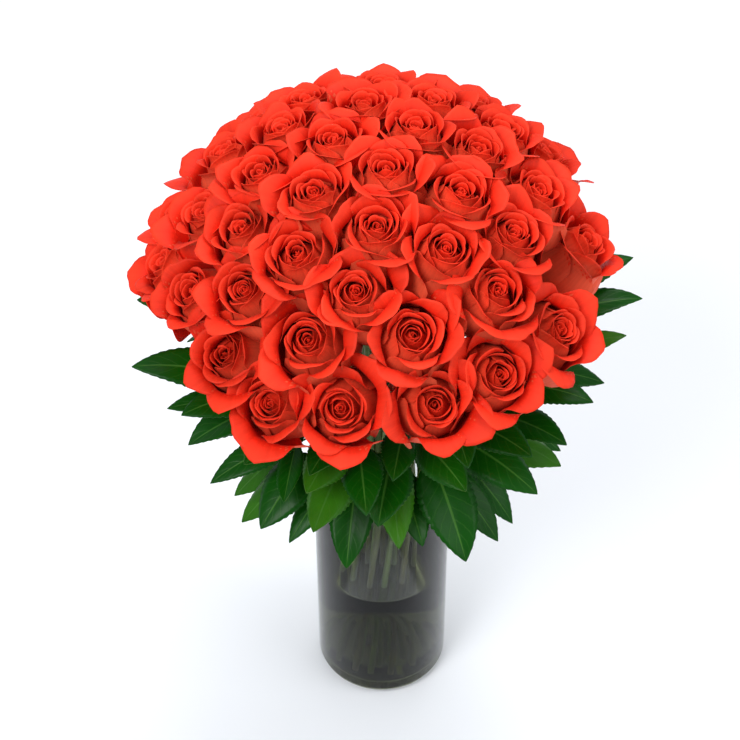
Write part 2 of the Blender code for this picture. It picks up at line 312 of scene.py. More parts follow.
@dataclass
class Goblet:
    """A rose of the frame: its stem's line, and its bloom's base, face and axis."""

    node: str
    line: np.ndarray
    stem_radius: float
    base: np.ndarray
    face: np.ndarray
    axis: np.ndarray
    radius: float

    @property
    def height(self) -> float:
        """Distance from the bloom's base to its face."""
        return float(np.linalg.norm(self.face - self.base))

    @staticmethod
    def of(node: str) -> Goblet:
        """Reads a rose's node: its bloom's face, axis, radius and base, and its stem.

        The bloom's face is the largest flat of the mesh. Points near the face's axis and
        level with the bloom are the bloom's, and the lowest points are the stem's foot.

        Args:
            node: the node's name.

        Returns:
            What the mesh says.
        """
        co = points_of(node).astype(float)
        corners = triangles_of(node)
        face, axis = Goblet.largest_flat(corners)
        off = co - face
        depth = off @ axis
        side = np.linalg.norm(off - depth[:, None] * axis, axis=1)
        bloom = (side < WIDEST_BLOOM) & (depth > -DEEPEST_BLOOM)
        radius = float(side[bloom & (depth > -UPPER_BLOOM)].max())
        narrow = bloom & (side < NECK_SHARE * radius)
        base = face + axis * depth[narrow].max()
        foot = co[co[:, 2] < co[:, 2].min() + FOOT_LAYER]
        centre = foot.mean(0)
        stem_radius = float(np.linalg.norm(foot - centre, axis=1).max())
        line = Goblet.stem_line(corners, centre, base, stem_radius)
        return Goblet(node, line, stem_radius, base, face, axis, radius)

    @staticmethod
    def largest_flat(corners: np.ndarray) -> tuple[np.ndarray, np.ndarray]:
        """The middle and the direction of the largest group of triangles in one plane.

        Args:
            corners: (n, 3, 3) corners of triangles.

        Returns:
            A point and a unit direction.
        """
        cross = np.cross(corners[:, 1] - corners[:, 0], corners[:, 2] - corners[:, 0])
        area = np.linalg.norm(cross, axis=1)
        normal = unit(cross)
        level = (normal * corners.mean(1)).sum(1)
        key = np.round(np.column_stack([normal * 50, level * 5000])).astype(np.int64)
        group = np.unique(key, axis=0, return_inverse=True)[1].reshape(-1)
        top = group == np.bincount(group, weights=area).argmax()
        return np.average(corners[top].mean(1), axis=0, weights=area[top]), unit(cross[top].sum(0))

    @staticmethod
    def stem_line(corners: np.ndarray, foot: np.ndarray, base: np.ndarray,
                  stem_radius: float) -> np.ndarray:
        """The stem's middle line, followed up from its foot by slicing level by level.

        Args:
            corners: (n, 3, 3) corners of triangles.
            foot: the middle of the stem's foot.
            base: the bottom of the bloom.
            stem_radius: the stem's radius.

        Returns:
            (n, 3) points from the foot to the base.
        """
        edges = np.concatenate([corners[:, [0, 1]], corners[:, [1, 2]], corners[:, [2, 0]]])
        a, b = edges[:, 0], edges[:, 1]
        line, last, drift = [foot], foot, np.zeros(3)
        low = corners[..., 2].min() + SLICE_FROM
        for height in np.linspace(low, base[2] - SLICE_TO, SLICES):
            cut = (a[:, 2] - height) * (b[:, 2] - height) < 0
            share = ((height - a[cut, 2]) / (b[cut, 2] - a[cut, 2]))[:, None]
            found = a[cut] + share * (b[cut] - a[cut])
            off = (found - (last + drift))[:, :2]
            near = np.linalg.norm(off, axis=1) < SAME_STEM * stem_radius
            if near.any():
                middle = 0.5 * (found[near].min(0) + found[near].max(0))
                middle[2] = height
                drift = (middle - last) if len(line) > 1 else drift
                drift = drift if np.linalg.norm(drift[:2]) < MOST_DRIFT else np.zeros(3)
                last = middle
                line.append(middle)
        return np.array(line + [base])


@dataclass
class Dome:
    """The ball that the blooms' faces lie on."""

    centre: np.ndarray
    radius: float

    @staticmethod
    def through(faces: np.ndarray) -> Dome:
        """The ball through the faces, by least squares.

        Args:
            faces: (n, 3) points.

        Returns:
            Its centre and radius.
        """
        left = np.column_stack([2 * faces, np.ones(len(faces))])
        answer = np.linalg.lstsq(left, (faces**2).sum(1), rcond=None)[0]
        centre = answer[:3]
        return Dome(centre, float(math.sqrt(answer[3] + centre @ centre)))


# ---- petals


@dataclass(frozen=True)
class PetalShape:
    """How petals change from a bloom's heart, through its cup, to its guard petals.

    Angles are in degrees. A jitter is the spread of a small random difference.
    """

    count: int = 35
    cup_share: float = 0.66
    heart_radius: float = 1.4 * MM
    cup_radius: float = 21.5 * MM
    reach_share: float = 0.88
    heart_width: float = 27 * MM
    guard_width: float = 54 * MM
    widest_wrap: float = 2.5
    heart_height: float = 0.87
    cup_height: float = 0.13
    heart_lip: float = 20.0
    cup_lip: float = 22.0
    guard_lip: float = 14.0
    open_lip: float = 38.0
    cup_drop: float = 0.15
    guard_drop: float = 0.30
    guard_tip: float = 0.035
    waist: float = 0.62
    turn_jitter: float = 0.12
    radius_jitter: float = 0.02
    height_jitter: float = 0.010
    lip_jitter: float = 7.0
    lean_jitter: float = 1.2
    skew_jitter: float = 0.10
    rows: int = 15
    cols: int = 15
    thickness: float = 0.42 * MM


@dataclass
class PetalRow:
    """Numbers for each petal of a bloom from its heart outwards, as (n, 1, 1) arrays."""

    share: np.ndarray
    guard: np.ndarray
    turn: np.ndarray
    radius: np.ndarray
    tall: np.ndarray
    wrap: np.ndarray
    lip: np.ndarray
    lip_from: np.ndarray
    close: np.ndarray
    lean: np.ndarray
    spring: np.ndarray


@dataclass
class Bloom:
    """The petals of one rose, in rows that overlap round its axis.

    Fields:
        goblet: the rose's solid in the frame.
        reach: (n,) how far the guard petals may spread in each of n directions round the axis.
        openness: 0 for a bloom still cupped to 1 for one laid open.
        seed: number that its small differences grow from.
    """

    goblet: Goblet
    reach: np.ndarray
    openness: float
    seed: int
    shape: PetalShape = field(default_factory=PetalShape)

    def row(self, rng: np.random.Generator) -> PetalRow:
        """How each petal stands, by its share of the way from the heart to the outside.

        Petals follow one another by the golden turn. The radius grows evenly through the
        cup, and then to the reach that the neighbours leave on the petal's side.

        Args:
            rng: source of the small differences.

        Returns:
            The numbers of all the petals.
        """
        form, n = self.shape, self.shape.count
        s = np.linspace(0.0, 1.0, n)
        cup = smooth(s / form.cup_share)
        guard = smooth((s - form.cup_share) / (1 - form.cup_share))
        turn = np.arange(n) * GOLDEN_TURN + rng.normal(0, form.turn_jitter, n)
        turn = turn + rng.uniform(0, ANY_TURN)
        lean_to = np.mod(turn, 2 * math.pi) / (2 * math.pi) * len(self.reach)
        reach = np.append(self.reach, self.reach[0])
        reach = np.interp(lean_to, np.arange(len(reach)), reach)
        inner = np.minimum(s / form.cup_share, 1.0)
        radius = form.heart_radius + (form.cup_radius - form.heart_radius) * inner
        radius = radius + (form.reach_share * reach - form.cup_radius) * guard
        radius *= 1 + rng.normal(0, form.radius_jitter, n)
        tall = form.heart_height + form.cup_height * cup - (0.07 * self.openness - 0.02) * guard
        tall = self.goblet.height * tall * (1 + rng.normal(0, form.height_jitter, n))
        width = form.heart_width + (form.guard_width - form.heart_width) * s
        wrap = np.minimum(0.5 * width / radius, form.widest_wrap)
        lip = form.heart_lip + form.cup_lip * cup
        lip = lip + (form.guard_lip + form.open_lip * self.openness) * guard
        lip = np.radians(lip + rng.normal(0, form.lip_jitter, n))
        lean = 1 + (2 + 5 * self.openness) * guard
        lean = np.radians(lean + rng.normal(0, form.lean_jitter, n))
        numbers = (s, guard, turn, radius, tall, wrap, lip, 0.87 - 0.12 * guard,
                   np.radians(14 - 4 * s), lean, np.radians(35 + 45 * s))
        return PetalRow(*(number[:, None, None] for number in numbers))

    def petals(self) -> Shell:
        """All the petals as one shell.

        A petal is a sheet on two parameters: v from its claw to its lip, and u from edge to
        edge. Its line from claw to lip is found by adding up small steps at a bend angle
        that starts near level, turns upright, and falls outwards again at the lip; it is
        then scaled to pass through the row's radius and height. The sheet is that line
        carried round the axis by u times the petal's half angle, narrower at the claw and
        shorter at the shoulders, with a wave along the lip.

        Returns:
            The petals, in the frame's coordinates.
        """
        form, rng = self.shape, np.random.default_rng(self.seed)
        row, n = self.row(rng), form.count
        v = (1 - (1 - np.linspace(0, 1, form.rows)) ** 1.35)[None, :, None]
        u = np.linspace(-1, 1, form.cols)[None, None, :]
        skew = rng.normal(0, form.skew_jitter, n)[:, None, None]
        drop = form.cup_drop + (form.guard_drop - form.cup_drop) * row.guard
        far = 1 - drop * np.abs(u - skew * (1 - u**2)) ** 2.4
        far = far + form.guard_tip * np.exp(-((u - skew) / 0.16) ** 2) * row.guard
        t = v * far
        bend = (
            row.spring * (1 - smooth(t / 0.40)) + row.lean
            - row.close * smooth((t - 0.30) / 0.40)
            + row.lip * smooth((t - row.lip_from) / (1.02 - row.lip_from))
            * (0.55 + 0.65 * u**2)
        )
        step = np.diff(t, axis=1, prepend=0.0)
        run = np.cumsum(np.sin(bend) * step, axis=1)
        rise = np.cumsum(np.cos(bend) * step, axis=1)
        middle = form.cols // 2
        waist = np.abs(t[:, :, middle] - form.waist).argmin(1)
        run *= row.radius / run[np.arange(n), waist, middle][:, None, None]
        rise *= row.tall / rise[:, :, middle].max(1)[:, None, None]
        phase = rng.uniform(0, ANY_TURN, (n, 2))
        first, second = phase[:, :1, None], phase[:, 1:, None]
        ripple = smooth((t - 0.55) / 0.45)
        wave = np.sin(2.6 * u + first) + 0.6 * np.sin(6.1 * u + second)
        size = (0.35 + 1.5 * row.guard) * MM * rng.uniform(0.5, 1.3, n)[:, None, None]
        run = run + size * wave * ripple
        rise = rise + 0.8 * size * np.sin(4.2 * u + second) * ripple
        swing = row.wrap * u * (0.40 + 0.60 * smooth(t / 0.55))
        flat = 0.5 * (0.10 + 0.22 * row.guard) * swing.clip(-1.1, 1.1) ** 2
        run = run * (1 + (0.05 + 0.03 * row.guard) * u + flat)
        angle = row.turn + swing
        local = np.stack([run * np.cos(angle), run * np.sin(angle), rise], axis=-1)
        world = self.goblet.base + local @ axes_round(self.goblet.axis)

        thick = form.thickness * (1.15 - 0.55 * smooth((t - 0.4) / 0.6))
        uv = stacked(0.5 + 0.5 * u, t)
        tint = stacked(row.share, rng.uniform(0, 1, n)[:, None, None], t)
        return Shell.joined([sheet(world[k], thick[k], uv[k], tint[k]) for k in range(n)])

    def sepals(self) -> Shell:
        """The five green sepals under the bloom, laid back and curled at their tips.

        Each is a narrow sheet that leaves the stem, follows the belly of the bloom for a
        way and falls outwards, wide at a third of its length and pointed at the end.

        Returns:
            The five sepals.
        """
        rng = np.random.default_rng(self.seed + 500)
        rows, cols = 12, 5
        v = np.linspace(0, 1, rows)[:, None]
        u = np.linspace(-1, 1, cols)[None, :]
        turn = axes_round(self.goblet.axis, rng.uniform(0, ANY_TURN))
        shells = []
        for k in range(5):
            fall = math.radians(rng.uniform(55, 150))
            length = rng.uniform(24, 34) * MM
            bend = math.radians(38) + fall * smooth((v - 0.15) / 0.85) ** 1.2
            reach = 3.2 * MM + np.cumsum(np.sin(bend), 0) * length / rows
            rise = -1.5 * MM + np.cumsum(np.cos(bend), 0) * length / rows
            half = np.sin(math.pi * np.minimum(v * 0.72 + 0.26, 1.0)) ** 1.1
            half = 4.6 * MM * half + 0.25 * MM
            twist = rng.normal(0, 0.5) * v**2
            across = half * u
            angle = k * 2 * math.pi / 5
            outwards = reach + 0.25 * np.abs(across) + twist * across
            local = np.stack([
                outwards * math.cos(angle) - across * math.sin(angle),
                outwards * math.sin(angle) + across * math.cos(angle),
                np.broadcast_to(rise, across.shape),
            ], axis=-1)
            world = self.goblet.base + local @ turn
            uv = stacked(0.5 + 0.5 * u, v)
            tint = stacked(np.full_like(v, 0.85), np.abs(u), v)
            shells.append(sheet(world, np.full((rows, cols), 0.5 * MM), uv, tint))
        return Shell.joined(shells)


# ---- leaves and stems

END_STALK, SIDE_STALK = 0.24, 0.14
SIDE_SIZE = 0.78
ARCH = 0.22


@dataclass(frozen=True)
class Leaf:
    """A leaf on a rose's stem, placed as shares of the dome that the blooms make.

    Fields:
        rose: the rose that it grows on.
        joint: height of its joint on the stem, in dome radii from the dome's centre.
        bearing: way its tip points, in degrees round from the front.
        reach: distance of its tip from the vase's axis, in dome radii.
        height: height of its tip, in dome radii from the dome's centre.
        half_width: half the width of its end leaflet in mm.
        leaflets: 1, or 3 with a pair beside the end one.
    """

    rose: str
    joint: float
    bearing: float
    reach: float
    height: float
    half_width: float
    leaflets: int


LEAVES = tuple(Leaf(rose, *row) for rose, rows in {
    "front_6": (
        (-0.36, -51, 0.94, -0.44, 16, 3), (-0.44, -36, 0.88, -0.60, 24, 1),
        (-0.52, -50, 0.80, -0.80, 20, 1), (-0.22, -38, 0.92, -0.16, 19, 1),
        (-0.12, -37, 0.92, -0.04, 16, 1),
    ),
    "front_4": (
        (-0.24, -72, 1.10, 0.02, 20, 1), (-0.38, -69, 0.98, -0.23, 16, 1),
        (-0.16, -56, 1.00, -0.04, 19, 1), (-0.54, -62, 0.74, -0.82, 19, 1),
    ),
    "left_2": (
        (-0.26, -83, 1.06, -0.20, 19, 1), (-0.42, -70, 0.90, -0.52, 22, 1),
    ),
    "front_8": (
        (-0.40, -18, 0.92, -0.42, 21, 1), (-0.52, -30, 0.80, -0.72, 15, 1),
        (-0.60, -12, 0.74, -0.86, 21, 1), (-0.24, -20, 0.90, -0.20, 19, 1),
        (-0.32, -4, 0.90, -0.28, 19, 1), (-0.14, -19, 0.90, -0.08, 16, 1),
    ),
    "front_9": (
        (-0.46, 5, 0.84, -0.58, 19, 1), (-0.04, 2, 0.60, 0.08, 13, 1),
    ),
    "front_10": (
        (-0.56, 13, 0.78, -0.66, 17, 1), (-0.38, -1, 0.86, -0.40, 24, 1),
        (-0.24, 22, 0.92, -0.18, 19, 1), (-0.14, 3, 0.88, -0.08, 16, 1),
    ),
    "front_12": (
        (-0.44, 25, 0.86, -0.74, 27, 1), (-0.34, 43, 0.96, -0.38, 23, 1),
        (-0.54, 41, 0.78, -0.84, 20, 1), (-0.22, 40, 0.96, -0.10, 19, 1),
        (-0.12, 23, 0.90, -0.06, 16, 1),
    ),
    "right_4": (
        (-0.35, 54, 0.96, -0.22, 20, 1), (-0.27, 79, 1.05, 0.06, 15, 1),
        (-0.47, 62, 0.88, -0.54, 22, 1), (-0.16, 62, 1.00, -0.06, 17, 1),
        (-0.60, 52, 0.74, -0.88, 19, 1),
    ),
    "right_3": (
        (-0.20, 92, 1.12, 0.04, 18, 1), (-0.36, 84, 0.98, -0.34, 21, 3),
        (-0.52, 78, 0.82, -0.72, 20, 1), (-0.44, 101, 0.92, -0.50, 20, 1),
        (-0.10, 100, 1.10, 0.14, 17, 1), (-0.64, 92, 0.74, -0.86, 18, 1),
    ),
    "right_6": (
        (-0.24, 116, 1.02, -0.10, 21, 3),
    ),
    "back_5": (
        (-0.32, 127, 0.98, -0.26, 17, 3), (-0.50, 140, 0.84, -0.66, 20, 1),
        (-0.62, 146, 0.70, -0.80, 19, 1),
    ),
    "back_6": (
        (-0.38, 158, 0.97, -0.42, 16, 3),
    ),
    "back_10": (
        (-0.42, 172, 0.92, -0.60, 23, 1), (-0.28, 178, 1.00, -0.22, 18, 1),
        (-0.24, 164, 0.94, -0.16, 19, 1), (-0.58, 175, 0.74, -0.82, 20, 1),
    ),
    "back_8": (
        (-0.34, -172, 1.0, -0.34, 18, 3), (-0.50, -168, 0.82, -0.70, 20, 1),
        (-0.24, -170, 0.94, -0.16, 19, 1),
    ),
    "back_7": (
        (-0.42, -158, 0.92, -0.58, 23, 1), (-0.28, -157, 1.00, -0.24, 17, 1),
        (-0.58, -150, 0.74, -0.80, 20, 1),
    ),
    "back_9": (
        (-0.30, -134, 1.02, -0.22, 16, 3), (-0.44, -128, 0.90, -0.56, 22, 1),
        (-0.56, -122, 0.76, -0.78, 19, 1),
    ),
    "left_4": (
        (-0.26, -110, 1.04, -0.18, 17, 3), (-0.42, -116, 0.90, -0.52, 21, 1),
        (-0.56, -104, 0.78, -0.80, 19, 1),
    ),
    "left_3": (
        (-0.40, -94, 0.96, -0.46, 22, 1), (-0.52, -86, 0.82, -0.72, 20, 1),
        (-0.22, -98, 1.08, -0.08, 19, 1),
    ),
    "front_11": (
        (0.02, 22, 0.62, 0.12, 13, 1),
    ),
    "front_7": (
        (0.10, 9, 0.42, 0.30, 13, 1),
    ),
    "front_5": (
        (-0.07, -21, 0.64, 0.04, 13, 1),
    ),
}.items() for row in rows)


@dataclass
class Leaflet:
    """One toothed blade on a stalk, along a bent midrib.

    Fields:
        start, bend, tip: the three points of the midrib's curve.
        half_width: half the blade's width in metres.
        stalk: share of the curve that is bare stalk.
        chance: a number from 0 to 1 that its colour and curl vary by.
    """

    start: np.ndarray
    bend: np.ndarray
    tip: np.ndarray
    half_width: float
    stalk: float
    chance: float
    teeth: int = 15
    cols: int = 9

    def midrib(self, u: np.ndarray) -> np.ndarray:
        """Points of the midrib: a quadratic curve through start, towards bend, to tip."""
        u = u[:, None]
        return self.start * (1 - u) ** 2 + self.bend * 2 * u * (1 - u) + self.tip * u * u

    def shells(self) -> list[Shell]:
        """The blade and its stalk.

        The blade's half width is v^0.6 (1-v)^0.85 of its length v, made to peak at the
        stated width, less a saw wave at the edge for the teeth. It is folded a little along
        the midrib, waved at the edges and quilted between its side veins.

        Returns:
            The blade, and the stalk with the midrib's ridge behind the blade.
        """
        rows = 3 * self.teeth + 1
        v = np.linspace(0.0, 1.0, rows)
        u = np.linspace(-1.0, 1.0, self.cols)
        share = self.stalk + (1 - self.stalk) * v
        rib = self.midrib(share)
        ahead = unit(np.gradient(rib, axis=0))
        out = unit(self.tip * np.array([1.0, 1.0, 0.0]))
        face = unit(out * 0.75 + np.array([0.0, 0.0, 0.66]))
        side = unit(np.cross(ahead, face))
        up = np.cross(side, ahead)
        outline = v**0.6 * (1 - v) ** 0.85
        outline = outline / outline.max()
        saw = np.mod(v * self.teeth, 1.0)
        outline = np.maximum(outline * (1 - 0.085 * (1 - saw)), 0.012)
        across = self.half_width * outline[:, None] * u
        quilt = np.cos(2 * math.pi * (v[:, None] * 7 - np.abs(u) * 1.5))
        quilt = quilt * (1 - u**2) * np.abs(u)
        curl = 0.30 - 0.25 * self.chance
        lift = (
            curl * np.abs(across) + 0.35 * MM * quilt
            + 0.05 * self.half_width * np.sin(9 * v[:, None] + ANY_TURN * self.chance) * u**2
            - (0.1 + 0.5 * self.chance) * across**2 / self.half_width
        )
        grid = rib[:, None] + side[:, None] * across[..., None] + up[:, None] * lift[..., None]
        uv = stacked(0.5 + 0.5 * u[None], v[:, None])
        tint = stacked(self.chance, np.abs(u)[None], v[:, None])
        blade = sheet(grid, np.full(grid.shape[:2], 0.4 * MM), uv, tint)
        line = np.linspace(0.0, 0.97, 22)
        path = self.midrib(line)
        behind = np.interp(line, share, np.arange(rows))
        sunk = 0.35 * MM * smooth((line - self.stalk) / 0.1)
        path = path - up[behind.astype(int)] * sunk[:, None]
        thick = np.interp(line, (0.0, self.stalk, 1.0), (1.15 * MM, 0.8 * MM, 0.25 * MM))
        return [blade, tube(path, thick, 6, 0.9)]


@dataclass
class Foliage:
    """The leaves of one rose."""

    goblet: Goblet
    dome: Dome
    leaves: list[Leaf]
    seed: int

    def joint(self, height: float) -> np.ndarray:
        """The stem's point at a height."""
        line = self.goblet.line
        return np.array([np.interp(height, line[:, 2], line[:, k]) for k in range(3)])

    def leaflets(self, leaf: Leaf, rng: np.random.Generator) -> list[Leaflet]:
        """The leaflets of a leaf, the end one first.

        Args:
            leaf: the leaf.
            rng: source of its small differences.

        Returns:
            One or three leaflets.
        """
        turn = math.radians(leaf.bearing)
        start = self.joint(self.dome.centre[2] + leaf.joint * self.dome.radius)
        tip = np.array([math.sin(turn), -math.cos(turn), 0.0]) * leaf.reach * self.dome.radius
        tip[2] = self.dome.centre[2] + leaf.height * self.dome.radius
        rise = np.array([0.0, 0.0, ARCH * np.linalg.norm(tip - start)])
        bend = 0.5 * (start + tip) + rise
        half = leaf.half_width * MM
        made = [Leaflet(start, bend, tip, half, END_STALK, rng.uniform())]
        if leaf.leaflets == 3:
            root = made[0].midrib(np.array([END_STALK]))[0]
            ahead = unit(tip - root)
            across = unit(np.cross(ahead, [0.0, 0.0, 1.0]))
            length = SIDE_SIZE * np.linalg.norm(tip - root)
            for way in (-1, 1):
                end = root + (ahead * 0.55 + across * 0.83 * way) * length
                middle = 0.5 * (root + end) + np.array([0.0, 0.0, 0.1 * length])
                made.append(Leaflet(root, middle, end, SIDE_SIZE * half, SIDE_STALK, rng.uniform()))
        return made

    def shell(self) -> Shell:
        """All the leaves' blades and stalks as one shell."""
        rng = np.random.default_rng(self.seed)
        parts = [leaflet for leaf in self.leaves for leaflet in self.leaflets(leaf, rng)]
        return Shell.joined([shell for part in parts for shell in part.shells()])


@dataclass
class Stem:
    """A rose's stem, swollen at its joints and at the hip that its bloom sits on."""

    goblet: Goblet
    seed: int
    sides: int = 10
    rings: int = 110
    evenings: int = 4
    joint_gap: float = 0.055
    hip_swell: float = 2.6 * MM
    hip_close: float = 3.0 * MM
    thinnest: float = 0.8 * MM

    def shell(self) -> Shell:
        """The stem as a tube along the slices' middles, evened out, and swollen at the hip.

        Returns:
            The closed tube.
        """
        line = self.goblet.line
        for _ in range(self.evenings):
            line = np.concatenate([line[:1], 0.25 * line[:-2] + 0.5 * line[1:-1] + 0.25 * line[2:],
                                   line[-1:]])
        hip = self.goblet.base + self.goblet.axis * np.array([[1.0], [3.0], [5.5], [7.0]]) * MM
        path = np.concatenate([line, hip])
        steps = np.concatenate([[0.0], np.cumsum(np.linalg.norm(np.diff(path, axis=0), axis=1))])
        even = np.linspace(0.0, steps[-1], self.rings)
        path = np.stack([np.interp(even, steps, path[:, k]) for k in range(3)], axis=1)
        rng = np.random.default_rng(self.seed)
        knots = np.sin(even / self.joint_gap + rng.uniform(0, ANY_TURN)) ** 12
        radius = self.goblet.stem_radius * (0.93 + 0.14 * knots)
        left = steps[-1] - even
        radius = radius + self.hip_swell * smooth((13 * MM - left) / (9 * MM))
        radius = radius - self.hip_close * smooth((3 * MM - left) / (3 * MM))
        return tube(path, np.maximum(radius, self.thinnest), self.sides, rng.uniform(0, 0.8))


# ---- vase and water


@dataclass
class Vase:
    """The glass cylinder, with its sizes read from the frame's solid."""

    radius: float
    inner: float
    height: float
    base: float
    heel: float
    sides: int = 128

    @staticmethod
    def of(node: str) -> Vase:
        """Reads the vase's node: outer and inner radius, height, base and heel."""
        co = points_of(node)
        far = np.hypot(co[:, 0], co[:, 1])
        top = co[:, 2].max()
        inner = far[co[:, 2] > 0.9 * top].min()
        floor = co[(far < 0.9 * inner) & (co[:, 2] > 0.002), 2].min()
        heel = far.max() - far[co[:, 2] < 0.0001].max()
        return Vase(float(far.max()), float(inner), float(top), float(floor), float(heel))

    def shell(self) -> Shell:
        """The glass: floor, round corner, wall, round rim, wall and round heel, turned."""
        quarter = np.linspace(0, math.pi / 2, 9)[1:]
        corner = 0.6 * self.heel
        wall = self.radius - self.inner
        lip = np.linspace(math.pi, 0, 13)
        inner = self.inner
        profile = np.concatenate([
            [[0.0, self.base], [inner - corner, self.base]],
            np.column_stack([inner - corner + corner * np.sin(quarter),
                             self.base + corner - corner * np.cos(quarter)]),
            np.column_stack([inner + wall / 2 + wall / 2 * np.cos(lip),
                             self.height - wall / 2 + wall / 2 * np.sin(lip)]),
            np.column_stack([self.radius - self.heel + self.heel * np.cos(np.append(0, quarter)),
                             self.heel - self.heel * np.sin(np.append(0, quarter))]),
            [[0.0, 0.0]],
        ])
        return turned(profile, self.sides)

    def water(self, level: float) -> Shell:
        """The water, against the glass, to its level, with its edge drawn up the wall."""
        quarter = np.linspace(0, math.pi / 2, 9)
        corner, cling = 0.6 * self.heel, 0.08 * MM
        inner, floor = self.inner + cling, self.base - cling
        edge = np.linspace(1, 0, 8)
        climb = level + 1.6 * MM * (1 - edge) ** 2.2
        profile = np.concatenate([
            [[0.0, level]], np.column_stack([inner - 3.2 * MM * edge, climb]),
            np.column_stack([inner - corner + corner * np.cos(quarter),
                             floor + corner - corner * np.sin(quarter)]),
            [[0.0, floor]],
        ])
        return turned(profile, self.sides)


# ---- finishes

Colour = tuple[float, float, float]


class Wiring:
    """Short ways to place and join nodes in one tree."""

    def __init__(self, tree: NodeTree) -> None:
        """Keeps the tree."""
        self.tree = tree

    def node(self, kind: str, **values: object) -> Node:
        """A new node with its properties set."""
        made = self.tree.nodes.new("ShaderNode" + kind)
        for name, value in values.items():
            setattr(made, name, value)
        return made

    def feed(self, socket: NodeSocket, value: object) -> None:
        """Links a socket into another, or sets it where the value is a plain one."""
        if isinstance(value, NodeSocket):
            self.tree.links.new(value, socket)
        elif isinstance(value, tuple) and len(value) == 3 and socket.type == "RGBA":
            socket.default_value = (*value, 1.0)
        else:
            socket.default_value = value

    def maths(self, operation: str, *values: object) -> NodeSocket:
        """The result of a Math node."""
        made = self.node("Math", operation=operation)
        for socket, value in zip(made.inputs, values):
            self.feed(socket, value)
        return made.outputs[0]

    def spread(self, value: object, low: float, high: float, to_low: float = 0.0,
               to_high: float = 1.0) -> NodeSocket:
        """A value carried smoothly from one range to another and held at its ends."""
        made = self.node("MapRange", interpolation_type="SMOOTHSTEP")
        for name, number in zip(("Value", "From Min", "From Max", "To Min", "To Max"),
                                (value, low, high, to_low, to_high)):
            self.feed(made.inputs[name], number)
        return made.outputs[0]

    def mix(self, share: object, first: object, second: object,
            blend: str = "MIX") -> NodeSocket:
        """Two colours mixed."""
        made = self.node("Mix", data_type="RGBA", blend_type=blend)
        self.feed(made.inputs["Factor"], share)
        self.feed(made.inputs[6], first)
        self.feed(made.inputs[7], second)
        return made.outputs[2]

    def noise(self, scale: float, detail: float = 2.0, stretch: Colour = (1.0, 1.0, 1.0),
              place: NodeSocket | None = None) -> NodeSocket:
        """Noise over a place, or else over the object's own coordinates in metres."""
        place = place or self.node("TexCoord").outputs["Object"]
        mapped = self.node("Mapping")
        self.feed(mapped.inputs["Vector"], place)
        mapped.inputs["Scale"].default_value = stretch
        made = self.node("TexNoise")
        self.feed(made.inputs["Vector"], mapped.outputs[0])
        made.inputs["Scale"].default_value = scale
        made.inputs["Detail"].default_value = detail
        return made.outputs["Fac"]


    def tint(self) -> tuple[list[NodeSocket], NodeSocket]:
        """The three numbers kept in a piece's tint, and the fourth by itself."""
        kept = self.node("Attribute", attribute_name="tint")
        parts = self.node("SeparateColor")
        self.feed(parts.inputs[0], kept.outputs["Color"])
        return list(parts.outputs), kept.outputs["Alpha"]

    def shaded(self, colour: object, shade: object) -> NodeSocket:
        """A colour made lighter or darker by one number."""
        tone = self.node("CombineColor")
        for socket in tone.inputs[:3]:
            self.feed(socket, shade)
        return self.mix(1.0, colour, tone.outputs[0], "MULTIPLY")

    def relief(self, shader: Node, height: object, strength: float,
               depth: float) -> None:
        """Bumps on a shader's surface, of a depth in metres."""
        bump = self.node("Bump")
        bump.inputs["Strength"].default_value = strength
        bump.inputs["Distance"].default_value = depth
        self.feed(bump.inputs["Height"], height)
        self.feed(shader.inputs["Normal"], bump.outputs[0])

    def mottled(self, mottle: NodeTree, amount: float) -> Node:
        """The shared growth mottle, by an amount."""
        blot = self.node("Group", node_tree=mottle)
        blot.inputs["Amount"].default_value = amount
        return blot


def new_group(name: str, inputs: dict[str, float],
              outputs: tuple[str, ...]) -> tuple[NodeTree, Wiring, Node, Node]:
    """An empty shader group with named value sockets.

    Args:
        name: the group's name.
        inputs: input names and their usual values.
        outputs: output names.

    Returns:
        The group, its wiring, and its input and output nodes.
    """
    group = bpy.data.node_groups.new(name, "ShaderNodeTree")
    for title, value in inputs.items():
        socket = group.interface.new_socket(
            name=title, in_out="INPUT", socket_type="NodeSocketFloat")
        socket.default_value = value
    for title in outputs:
        group.interface.new_socket(name=title, in_out="OUTPUT", socket_type="NodeSocketFloat")
    start, end = group.nodes.new("NodeGroupInput"), group.nodes.new("NodeGroupOutput")
    return group, Wiring(group), start, end


def vein_group() -> NodeTree:
    """Veins of a leaf or a sepal, from its UV map.

    A side vein is a line where the length times Count, less the distance from the midrib
    times Slant, passes a whole number. The midrib is a narrow band at the middle.

    Returns:
        The group, with a Vein mask.
    """
    group, wire, start, end = new_group("leaf veins", {"Count": 8.0, "Slant": 2.0}, ("Vein", "Rib"))
    place = wire.node("UVMap", uv_map="surface")
    split = wire.node("SeparateXYZ")
    wire.feed(split.inputs[0], place.outputs[0])
    off = wire.maths("ABSOLUTE", wire.maths("SUBTRACT", split.outputs[0], 0.5))
    run = wire.maths("MULTIPLY", split.outputs[1], start.outputs["Count"])
    phase = wire.maths("SUBTRACT", run, wire.maths("MULTIPLY", off, wire.maths(
        "MULTIPLY", start.outputs["Slant"], 2.0)))
    near = wire.maths("PINGPONG", phase, 0.5)
    side = wire.spread(near, 0.0, 0.09, 1.0, 0.0)
    fade = wire.spread(off, 0.30, 0.48, 1.0, 0.25)
    rib = wire.spread(off, 0.012, 0.035, 1.0, 0.0)
    wire.feed(end.inputs["Vein"], wire.maths("MULTIPLY", side, fade))
    wire.feed(end.inputs["Rib"], rib)
    return group


